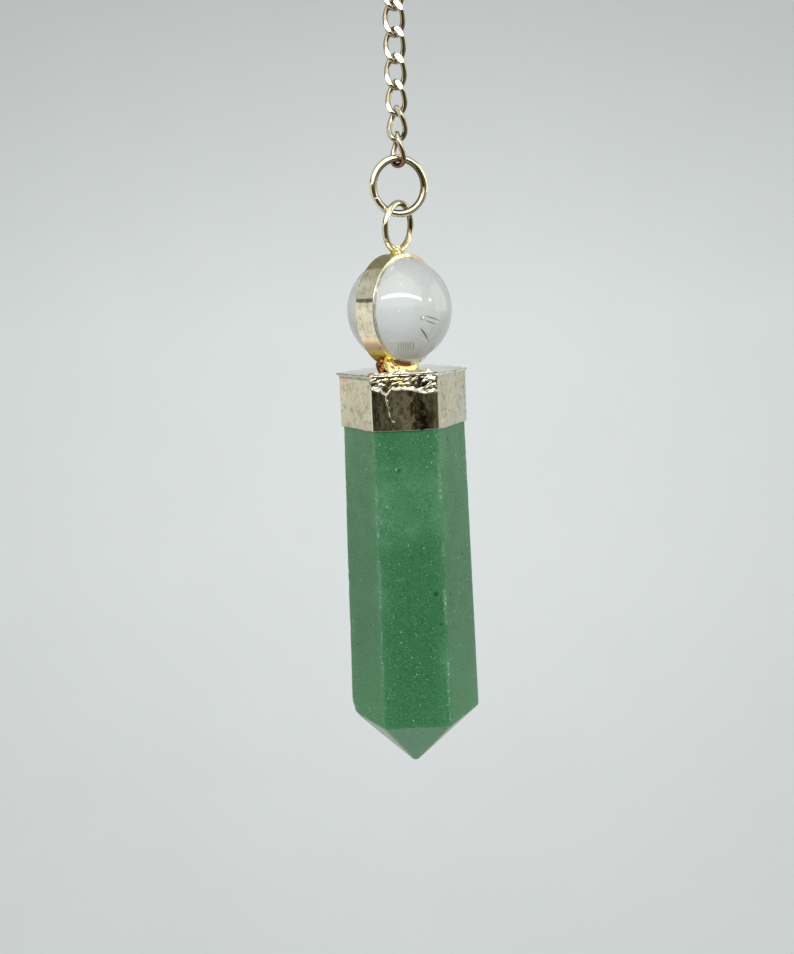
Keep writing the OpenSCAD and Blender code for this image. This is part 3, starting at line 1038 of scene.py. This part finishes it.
# An arch and an upper ridge in the solder, at a place along the wall and a drop, and how far it sinks in
ARCH_AT = (2.0, 1.05)
ARCH_R = 0.46
UPPER_RIDGE_AT = (2.0, 2.4)
CRUST_SINK = 0.06
CRUST_FADES_TO = 0.05


def solder_crust():
    """Solder heaped over the cap's front edge: a closed section carried along the edge. It is heaped on the
    top, falls in a pale slope, is crumpled like foil below it and ends in a ragged ridge. The section's
    knots are joined by lines and softened by a short running mean. Its strength fades to the ends: at the
    right each knot ends at its own place, and past the left corner only dabs are left."""
    half_w = CAP_W / 2
    spot = np.linspace(*CRUST_ENDS, 360)[:, None]
    knot_out, knot_drop, on_edge, knot_crumple, knot_gold = CRUST_SECTION[:, :5].T
    count = CRUST_SECTION[:, 5].astype(int)
    knot = np.repeat(np.arange(len(count)), count)
    share = np.concatenate([np.arange(n) / n for n in count])
    weights = np.zeros((len(knot), len(count)))
    weights[np.arange(len(knot)), knot] = 1 - share
    weights[np.arange(len(knot)), (knot + 1) % len(count)] = share
    weights = sum(np.roll(weights, k, 0) * (3 - abs(k)) for k in (-2, -1, 0, 1, 2)) / 9
    along = laid_flat(spot, 0)
    ends = 3.3 + 0.4 * np.sin(2.3 * np.arange(len(count)))
    dabs = 0.6 * smooth(-0.25, 0.35, noise(along, 0.55, 43)) * smooth(-5.4, -4.6, spot)
    body = smooth(-3.9, -2.7, spot)
    strength = smooth(ends + 0.15, ends - 0.45, spot) * (body + (1 - body) * dabs)
    edge = np.interp(spot, CRUST_SPOTS, CRUST_DROPS)
    edge = edge + 0.10 * noise(along, 0.8, 41) + 0.05 * noise(along, 0.3, 42)
    rough_end = smooth(0.1, -1.2, spot)
    heap = 1 - 0.3 * rough_end + 0.3 * noise(along, 0.8, 44)
    heaped = (knot_drop < -0.1) & (on_edge == 0)
    drops = np.where(heaped, knot_drop * heap, knot_drop) + on_edge * edge
    drops = np.where(on_edge == 1, np.maximum(drops, 0.14 + 0.36 * (knot_out > 0)), drops)
    faded = CRUST_FADES_TO + strength * (drops - CRUST_FADES_TO)
    drops = np.where((knot_drop < 0.04) & (on_edge == 0), faded, drops)
    out = (strength * (knot_out + CRUST_SINK) - CRUST_SINK) @ weights.T
    drop = drops @ weights.T
    upper = smooth(*UPPER_RIDGE_AT, spot) * np.clip((drop - 0.2) / 0.3, 0, 1) * smooth(0.68, 0.55, drop)
    arch = bump(np.hypot(spot - ARCH_AT[0], drop - ARCH_AT[1]) - ARCH_R, 0.06) * smooth(1.25, 1.05, drop)
    front = (out > -0.03) & (drop > 0.15)
    strength = strength @ weights.T
    out += front * strength * (0.16 * upper + 0.09 * arch)
    grid, way = hexagon_ring(spot / half_w + 0 * out, half_w + out / FLAT_SHARE, CORNER_POWER)
    grid = grid - drop[..., None] * UP
    middle_row = len(spot) // 2
    section = np.stack([out[middle_row], drop[middle_row]], -1)
    run = np.append(0, np.cumsum(np.linalg.norm(np.diff(section, axis=0), axis=1)))[None, :]
    foil = facets(spot, run, 0.36, 54) + 0.45 * facets(spot, run, 0.17, 57)
    crumple = (weights @ knot_crumple + 0.06 * rough_end * (drop < 0.1)) * (0.4 + 0.6 * strength)
    grid = pushed(grid, crumple * foil, way + UP * (drop < 0.2)[..., None])
    flat = laid_flat(spot, run)
    golden = weights @ knot_gold
    patches = smooth(0.0, 0.45, noise(flat, 0.42, 60))
    masks = {
        "gold": golden * smooth(-2.4, -1.9, spot) * smooth(1.2, 0.6, spot) * patches,
        "peach": 0.5 * bump(spot + 1.6, 0.9) * bump(run - 1.1, 0.6),
        "burnt": 0.35 * golden + 0 * spot,
        "inner": 0.85 * golden * smooth(-0.25, 0.3, noise(flat, 0.38, 59)),
    }
    return hung(hex_turned(grid) + UP * CAP_TOP_Z), masks


# Runs of solder: start, end, thickness, seed of its roughness, and how burnt it is
SOLDER_RUNS = {
    "bright_solder": ((-1.25, -2.3, -4.2), (-0.9, -3.9, -5.85), 1.0, 33, 0.0),
    "burnt_solder": ((-1.8, -2.0, -4.2), (-1.8, -1.8, -6.1), 1.15, 35, 0.75),
}

loop_points, loop_gold, loop_inner = loop_wire()
setting_piece("loop_wire", loop_points, gold=0.08 + 0.45 * loop_gold, inner=loop_inner, rows_close=True)
setting_piece("loop_solder", loop_solder(), gold=0.35)
band_points, band_masks = band_strip()
setting_piece("band_strip", band_points, rows_close=True, sharp=40, **band_masks)
foot_points, foot_burnt = foot_solder()
setting_piece("foot_solder", foot_points, gold=0.85, burnt=foot_burnt, inner=0.25)
for name, (start, end, thick, seed, burnt) in SOLDER_RUNS.items():
    setting_piece(name, solder_run(start, end, thick, seed), gold=0.9, burnt=burnt)
cap_points, cap_stain, cap_dark = cap_shell()
setting_piece("cap_shell", cap_points, stain=cap_stain, inner=cap_dark)
crust_points, crust_masks = solder_crust()
setting_piece("solder_crust", crust_points, sharp=32, **crust_masks)

# Ball and what has grown inside it


def sphere_grid(radius, rows, columns):
    """Sphere by height angle and turn, its poles left to the fans."""
    height = np.linspace(-np.pi / 2, np.pi / 2, rows + 2)[1:-1, None]
    turn = np.linspace(0, 2 * np.pi, columns, endpoint=False)[None, :]
    level = np.cos(height) * radius
    return np.stack([level * np.cos(turn), level * np.sin(turn), radius * np.sin(height) + 0 * turn], -1)


ball_points = hung(sphere_grid(BALL_R, 110, 220))
piece("clear_ball", ball_points, "pendant", "clear_quartz", CLEAR_QUARTZ, ["quartz_ball"])

# How far an inclusion shows out of the ball's skin, in millimetres
SHOWN = 0.035


def in_ball(right, up, depth):
    """Point at a depth under the front of the ball's skin, given to the right and up in shares of its
    radius. The depth is in millimetres."""
    share = 1 - depth / BALL_R
    return np.array([right, -math.sqrt(max(share**2 - right**2 - up**2, 0.0)), up]) * BALL_R


def needle(start, end, thick, bow=0.0, shown=SHOWN):
    """Hair of mineral from start to end, bowed to one side and tapered to both ends by a sine. It lies
    in the skin, where the polishing has just reached it."""
    share = np.linspace(0, 1, 24)[:, None]
    depth = thick / 2 - shown
    start, end = in_ball(*start, depth), in_ball(*end, depth)
    path = start + (end - start) * share + np.cross(end - start, [0, 1, 0]) * bow * np.sin(np.pi * share)
    radius = thick / 2 * np.maximum(np.sin(np.pi * share[:, 0]) ** 0.5, 0.08)
    return hung(tube(path, radius, np.broadcast_to([0.3, 0.2, 1.0], path.shape), 10, rows_close=False))


def fleck(right, up, width, height, shown=SHOWN):
    """Grain of mineral: a short fat needle, upright, sized in millimetres."""
    half = height / 2 / BALL_R
    return needle((right, up - half), (right, up + half), width, shown=shown)


# Places on the ball, right and up, in shares of its radius
WHITE_GRAINS = [(-0.12, 0.75), (0.004, 0.02), (-0.16, -0.52), (-0.055, -0.84), (0.487, -0.565)]
HAIR_RIGHTS = [-0.05, 0.0, 0.045, 0.09, 0.13, 0.18, 0.23]
HAIR_UPS = (-0.55, -0.71)

INCLUSIONS = {
    "dark_needle": (DARK_NEEDLE, [needle((0.373, -0.311), (0.50, -0.54), 0.17, 0.05)]),
    "brown_needles": (
        BROWN_NEEDLE,
        [
            needle((0.470, -0.095), (0.74, -0.20), 0.12, 0.03),
            needle((0.470, -0.160), (0.68, -0.262), 0.12, -0.03),
        ],
    ),
    "cream_flake": (CREAM_FLAKE, [fleck(0.42, -0.123, 0.46, 0.46, 0.07)]),
    "dark_speck": (DARK_NEEDLE, [fleck(0.522, -0.565, 0.12, 0.14)]),
    "white_flecks": (
        WHITE_FLECK,
        [fleck(0.053, 0.50, 0.08, 0.45), *(fleck(right, up, 0.11, 0.15) for right, up in WHITE_GRAINS)],
    ),
    "grey_hairs": (
        GREY_HAIR,
        [needle((right, HAIR_UPS[0]), (right + 0.01, HAIR_UPS[1]), 0.065, 0.02) for right in HAIR_RIGHTS],
    ),
}

for name, (material, grids) in INCLUSIONS.items():
    piece(name, grids, "pendant", "clear_quartz", material)

# Stone: how crisp its arrises are, and the place and size of its dark spots and its chip, seen from the front
ARRIS_POWER = 60
SPOTS_AT = [(2.45, -56.25, 0.20), (2.85, -59.24, 0.10), (-0.71, -44.33, 0.11)]
CHIP_AT = (-2.75, -49.0, 0.45)


def seen_at(grid, x, z, radius):
    """Bell of height 1 round a place that is given as it is seen from the front."""
    return bump(np.hypot(grid[..., 0] - x, grid[..., 2] - z), radius)


def stone_surface():
    """Hexagonal point. The half width at a height is the eased lesser of two lines, one for the shaft and
    one for the point, whose rows slide off the axis towards the tip. Its arrises are eased more or less
    along their length, and chipped by noise. The masks are wear, a sparse dust of chips on the arrises;
    pale, which is painted light in a broad band along the arrises, painted reflection on the side faces,
    paler towards the top, a pale band on the front below painted shade under the cap, and paler point
    faces; fresh, a brighter green low down; and spots, the front side's dark ones."""
    shaft = np.concatenate([
        np.linspace(STONE_TOP_Z, CAP_BOTTOM_Z + 0.3, 6),
        np.linspace(CAP_BOTTOM_Z + 0.1, SHOULDER_Z + 0.9, 200),
        np.linspace(SHOULDER_Z + 0.85, SHOULDER_Z - 0.6, 30),
        np.linspace(SHOULDER_Z - 0.68, TIP_Z + 0.25, 64),
        np.linspace(TIP_Z + 0.2, TIP_Z, 6),
    ])[:, None]
    grow = np.clip((CAP_BOTTOM_Z - shaft) / SHAFT_H, 0, None)
    side_line = STONE_W / 2 + (SHOULDER_W - STONE_W) / 2 * grow
    point_line = TIP_W / 2 + (SHOULDER_W - TIP_W) / 2 * (shaft - TIP_Z) / POINT_H
    ease = 0.05
    half = -ease * np.logaddexp(-side_line / ease, -point_line / ease)
    half = half - 0.12 * bump(shaft - TIP_Z, 0.08)
    spots = hexagon_spots(crowded(60), 46, 46)
    place_on = np.broadcast_to(spots, (len(shaft), len(spots)))
    rough, out = hexagon_ring(place_on, half, ARRIS_POWER)
    rough = rough + shaft[..., None] * UP
    from_arris = (0.5 - np.abs(place_on - np.round(place_on))) * half
    arris = bump(from_arris, 0.16)
    shoulder = bump(side_line - point_line, 0.4)
    chips = smooth(0.15, 0.75, noise(rough, 0.55, 61)) + 0.6 * smooth(0.3, 0.8, noise(rough, 0.22, 62))
    worn = np.clip(arris + 0.7 * shoulder, 0, 1) * np.clip(chips, 0, 1)
    corner = SHOULDER_W / 2 * np.array([-1, 0, 0]) + SHOULDER_Z * UP
    nick = bump(np.linalg.norm(rough - corner, axis=-1), 0.75)
    easing = arris * (0.03 + 0.02 * noise(rough, (3, 3, 4), 63))
    lift = -0.045 * worn - easing - 0.25 * nick + 0.012 * noise(rough, (2.5, 2.5, 5), 64)
    lift = np.where(shaft > CAP_BOTTOM_Z + 0.05, -0.01, lift)
    grid = rough + lift[..., None] * out
    number = np.floor(place_on + 0.5) % 6
    beside = np.where(number == 0, place_on > 0, number == 1)
    patchy = smooth(-0.2, 0.6, noise(rough, (1, 1, 1.7), 65))
    wear = bump(from_arris, 0.17) * patchy * np.where(beside, 1.3, 0.5)
    wear = wear + 0.35 * shoulder * patchy + 0.5 * nick
    # Painted light: a broad pale band along each arris, where light shows through the thin edges.
    haze = bump(from_arris, 0.8) * (0.5 + 0.6 * noise(rough, (2, 2, 3), 66))
    rise = smooth(SHOULDER_Z + 6, CAP_BOTTOM_Z - 4, shaft)
    below_cap = CAP_BOTTOM_Z - shaft
    point = smooth(SHOULDER_Z + 0.1, SHOULDER_Z - 0.1, shaft)
    # The front's pale band starts 2 mm below the cap and leaves painted shade under the cap's lip above it.
    front_pale_band_below_shade = smooth(2.0, 4.5, below_cap) * smooth(12.0, 9.0, below_cap + 1.5 * noise(rough, 2.5, 67))
    # Pale: painted light along the arrises, the front's pale band, painted reflection of the backdrop on the
    # side faces, paler towards the top, and paler point faces.
    pale = haze + np.where(number == 0, 0.8 * front_pale_band_below_shade, 0.3) + 0.3 * rise * (number != 0) + 0.45 * point
    fresh = smooth(SHOULDER_Z + 11, SHOULDER_Z - 1, shaft) * np.where(number == 0, 0.25 + 0.75 * point, 1)
    off_axis = TIP_OFF * np.clip((SHOULDER_Z - shaft) / POINT_H, 0, 1)
    grid = hung(hex_turned(grid) + off_axis[..., None] * [1, 0, 0])
    dots = sum(seen_at(grid, *spot) for spot in SPOTS_AT) * (number == 0)
    wear = wear + 0.45 * seen_at(grid, *CHIP_AT) * (grid[..., 1] < 0)
    return grid, {"wear": np.clip(wear, 0, 1), "pale": np.clip(pale, 0, 1), "fresh": fresh, "spots": dots}


stone_points, stone_masks = stone_surface()
piece("stone_body", stone_points, "pendant", "green_stone", GREEN_STONE, ["stone_point"], masks=stone_masks)

# Camera, in millimetres and degrees, at the photograph's view
CAMERA_AT = (0.8, -111.7, -25.17)
CAMERA_PITCH = 10.5
CAMERA_ROLL = -1.74
CAMERA_YAW = 0.92
LENS = 43.9


def add_camera():
    """Camera at its place, level along +Y, then pitched down, rolled and turned about the vertical."""
    made = bpy.data.objects.new("camera", bpy.data.cameras.new("camera"))
    bpy.context.scene.collection.objects.link(made)
    made.data.lens = LENS
    made.data.clip_start = 1 * MM
    made.data.clip_end = 10
    made.matrix_world = (
        Matrix.Translation([MM * c for c in CAMERA_AT])
        @ Matrix.Rotation(math.radians(CAMERA_YAW), 4, "Z")
        @ Matrix.Rotation(math.radians(90 - CAMERA_PITCH), 4, "X")
        @ Matrix.Rotation(math.radians(CAMERA_ROLL), 4, "Z")
    )
    bpy.context.scene.camera = made


# Studio, in metres
FLOOR_Z = -0.5
BACK_Y = 0.55
SWEEP_R = 0.45
STUDIO_HALF_W = 2.5
FLOOR_FRONT_Y = -2.5
BACK_H = 3.0
PATCH_R = 0.4
LIGHT_R = 0.385

# Tones of the paper, and the heights in millimetres between which it grows a little darker: painted shade
PAPER_SHADE = colour(0.850, 0.880, 0.875)
PAPER = colour(0.890, 0.920, 0.915)
PAPER_FADES_UP = (-60, 150)
PAPER_FADES_DOWN = (-190, -300)
BLACK = colour(0, 0, 0)


def staged(name, points, material, tone=None):
    """Part of the studio from a grid of points in metres, with its tone as an attribute."""
    rows, columns = points.shape[:2]
    faces = grid_faces(rows, columns, False, False).tolist()
    made = new_object(name, points.reshape(-1, 3), faces, material)
    if tone is not None:
        keep(made, "tone", tone.ravel())
    return made


def paper_sweep():
    """Pale floor that curves up into a backdrop: a line, a quarter circle and a line, drawn out sideways."""
    bend = np.linspace(0, np.pi / 2, 24)
    y = np.concatenate([[FLOOR_FRONT_Y], BACK_Y - SWEEP_R + SWEEP_R * np.sin(bend), [BACK_Y]])
    z = np.concatenate([[0], SWEEP_R - SWEEP_R * np.cos(bend), [BACK_H]]) + FLOOR_Z
    x = np.array([STUDIO_HALF_W, -STUDIO_HALF_W])
    made, tree, shader = new_material("paper")
    where = place(tree)
    cloud = grain(tree, where, 0.02, 3)
    tone = mixed(tree, cloud, PAPER_SHADE, PAPER)
    height = add(tree, "SeparateXYZ", {0: where}).outputs[2]
    # Painted shade: the paper grows darker above and below the pendant's height.
    above = spread(tree, height, *PAPER_FADES_UP, 0.0, 0.26)
    below = spread(tree, height, *PAPER_FADES_DOWN, 0.0, 0.03)
    tone = mixed(tree, maths(tree, "MAXIMUM", above, below), tone, BLACK)
    tree.links.new(tone, shader.inputs["Base Color"])
    shader.inputs["Roughness"].default_value = 0.95
    shader.inputs["Specular IOR Level"].default_value = 0.1
    grid = np.stack([x[None] + 0 * y[:, None], y[:, None] + 0 * x, z[:, None] + 0 * x], -1)
    return staged("paper_sweep", grid, made)


def glow(name, strength, dim, bright, lights):
    """Light that goes from a dim colour to a bright one with the tone. Where it only shows in polished
    surfaces, no rays are sent to look for it."""
    made = bpy.data.materials.new(name)
    made.use_nodes = True
    tree = made.node_tree
    tree.nodes.clear()
    shade = mixed(tree, attribute(tree, "tone"), dim, bright)
    light = add(tree, "Emission", {"Color": shade, "Strength": strength})
    out = add(tree, "OutputMaterial")
    tree.links.new(light.outputs[0], out.inputs["Surface"])
    made.cycles.emission_sampling = "FRONT_BACK" if lights else "NONE"
    return made


def patch(name, azimuths, heights, strength, bright, dim=BLACK, tone=None, lights=False, step=3, droop=0):
    """Glowing part of a sphere round the ball, between two azimuths and two heights in degrees. Azimuth 0
    is in front and 90 to the right. The camera doesn't see it, and it throws no shadow. tone gives how
    bright it is at each azimuth and height, at steps of step degrees. A droop lowers it and thins it with
    the square of the azimuth, as a straight lamp looks, by so many degrees at azimuth 45."""
    azimuth = np.linspace(*azimuths, round((azimuths[1] - azimuths[0]) / step) + 1)[None, :]
    height = np.linspace(*heights, round((heights[1] - heights[0]) / max(step, 0.5)) + 1)[:, None]
    shade = np.ones((height.size, azimuth.size)) if tone is None else tone(azimuth, height)
    far = (azimuth / 45) ** 2
    raised = height - droop * far - 0.02 * droop * far * (height - sum(heights) / 2)
    az, el = np.radians(azimuth), np.radians(raised)
    away = np.stack([np.sin(az) * np.cos(el), -np.cos(az) * np.cos(el), np.sin(el) + 0 * az], -1)
    radius = LIGHT_R if lights else PATCH_R
    shown = staged(name, away * radius + BALL_MIDDLE * MM, glow(name, strength, dim, bright, lights), shade)
    shown.visible_camera = False
    shown.visible_shadow = False
    shown.visible_transmission = False
    shown.visible_diffuse = lights
    return shown


# The dark room in front of the pendant: azimuths and tones, as the cap's flat front mirrors them
ROOM = np.array([
    (-60, 0.95), (-54, 0.85), (-48, 0.20), (-8, 0.08), (-0.8, 0.0), (-0.2, 0.0), (0.1, 0.20),
    (1.0, 0.22), (1.8, 0.10), (2.2, 0.42), (4.3, 0.38), (4.7, 0.0), (7.1, 0.0), (7.5, 0.15),
    (8.3, 0.14), (8.6, 0.30), (48, 0.16), (54, 0.75), (60, 1.0),
])
WALL_WHITE = colour(1.0, 1.0, 0.96)
WARM_WHITE = colour(1.0, 1.0, 0.98)
CREAM = colour(1.0, 0.98, 0.83)
PALE_CREAM = colour(1.0, 0.99, 0.88)
OLIVE = colour(0.37, 0.344, 0.224)
OLIVE_SHADE = colour(0.28, 0.26, 0.17)
UMBER = colour(0.012, 0.010, 0.006)
SKY = colour(0.95, 0.965, 0.966)


def room_tone(azimuth, height):
    """Tone along the azimuth from the short table, mottled by noise."""
    where = laid_flat(azimuth, height)
    mottle = 1 + 0.35 * noise(where, (5, 1, 14), 71) + 0.35 * noise(where, (0.7, 1, 2.5), 72)
    lights = 0.26 * smooth(0.25, 0.8, noise(where, (0.8, 1, 1.6), 73))
    tone = np.interp(azimuth, *ROOM.T) * mottle + lights * (np.abs(azimuth) < 20)
    return np.clip(tone, 0, 1)


def left_tone(azimuth, height):
    """Pale wall, a dark line, and a dimmer wall above. Far to the left it is dim low down."""
    wall = 0.13 + 0.71 * smooth(14.5, 13.5, height) + 0.47 * smooth(19, 20.5, height)
    far = 1 - 0.2 * smooth(-95, -108, azimuth)
    far_low = 1 - 0.4 * smooth(-95, -105, azimuth) * smooth(-8.5, -12, height)
    return wall * far * far_low


def right_tone(azimuth, height):
    """Window's glow above a pale wall, which is dim low down."""
    return (0.4 + 0.6 * smooth(-3.4, -2.6, height)) * (1 - 0.45 * smooth(-8.5, -12, height)) + 0 * azimuth


BACK_LIGHT_AT = (0, 0.22, -0.06)
BACK_LIGHT_POWER = 0.55
SKY_STRENGTH = 0.68


def add_back_light(power):
    """Wide soft light behind the pendant, thrown on the backdrop alone."""
    made = bpy.data.objects.new("back_light", bpy.data.lights.new("back_light", "SPOT"))
    bpy.context.scene.collection.objects.link(made)
    made.data.energy = power
    made.data.spot_size = math.radians(150)
    made.data.spot_blend = 1
    made.data.shadow_soft_size = 0.05
    made.location = BACK_LIGHT_AT
    made.rotation_euler = (math.radians(90), 0, 0)
    made.visible_camera = False
    made.visible_glossy = False
    made.visible_transmission = False


def add_world(shade, strength):
    """Even light from all round."""
    world = bpy.data.worlds.new("world")
    world.use_nodes = True
    back = world.node_tree.nodes["Background"]
    back.inputs["Color"].default_value = shade
    back.inputs["Strength"].default_value = strength
    bpy.context.scene.world = world


add_camera()
paper_sweep()

# Each glowing patch has its azimuths and heights in degrees, its strength, and its bright and dim colours
patch("dark_room", (-60, 60), (-45, 10), 1.0, OLIVE, UMBER, room_tone, step=0.2)
patch("pale_wall", (-60, 62), (9, 41), 1.4, WALL_WHITE)
patch("strip_light", (-43, 54), (30, 40), 7.5, WARM_WHITE, lights=True, droop=10)
patch("small_light", (70, 77), (14, 21), 6.0, WARM_WHITE, lights=True)
patch("ceiling", (-60, 62), (41, 89), 1.8, WARM_WHITE)
patch("left_wall", (-135, -60), (-60, 89), 1.07, PALE_CREAM, tone=left_tone, step=0.5)
patch("right_wall", (85, 125), (-50, 35), 1.6, CREAM, tone=right_tone, step=0.5)
patch("right_corner", (60, 85), (-50, 8), 0.2, CREAM)
patch("right_glow", (62, 85), (8, 37), 0.9, CREAM)
patch("dark_corner", (-180, -135), (12, 62), 1.0, OLIVE_SHADE)
add_back_light(BACK_LIGHT_POWER)
add_world(SKY, SKY_STRENGTH)
bpy.context.scene.view_settings.view_transform = "Standard"
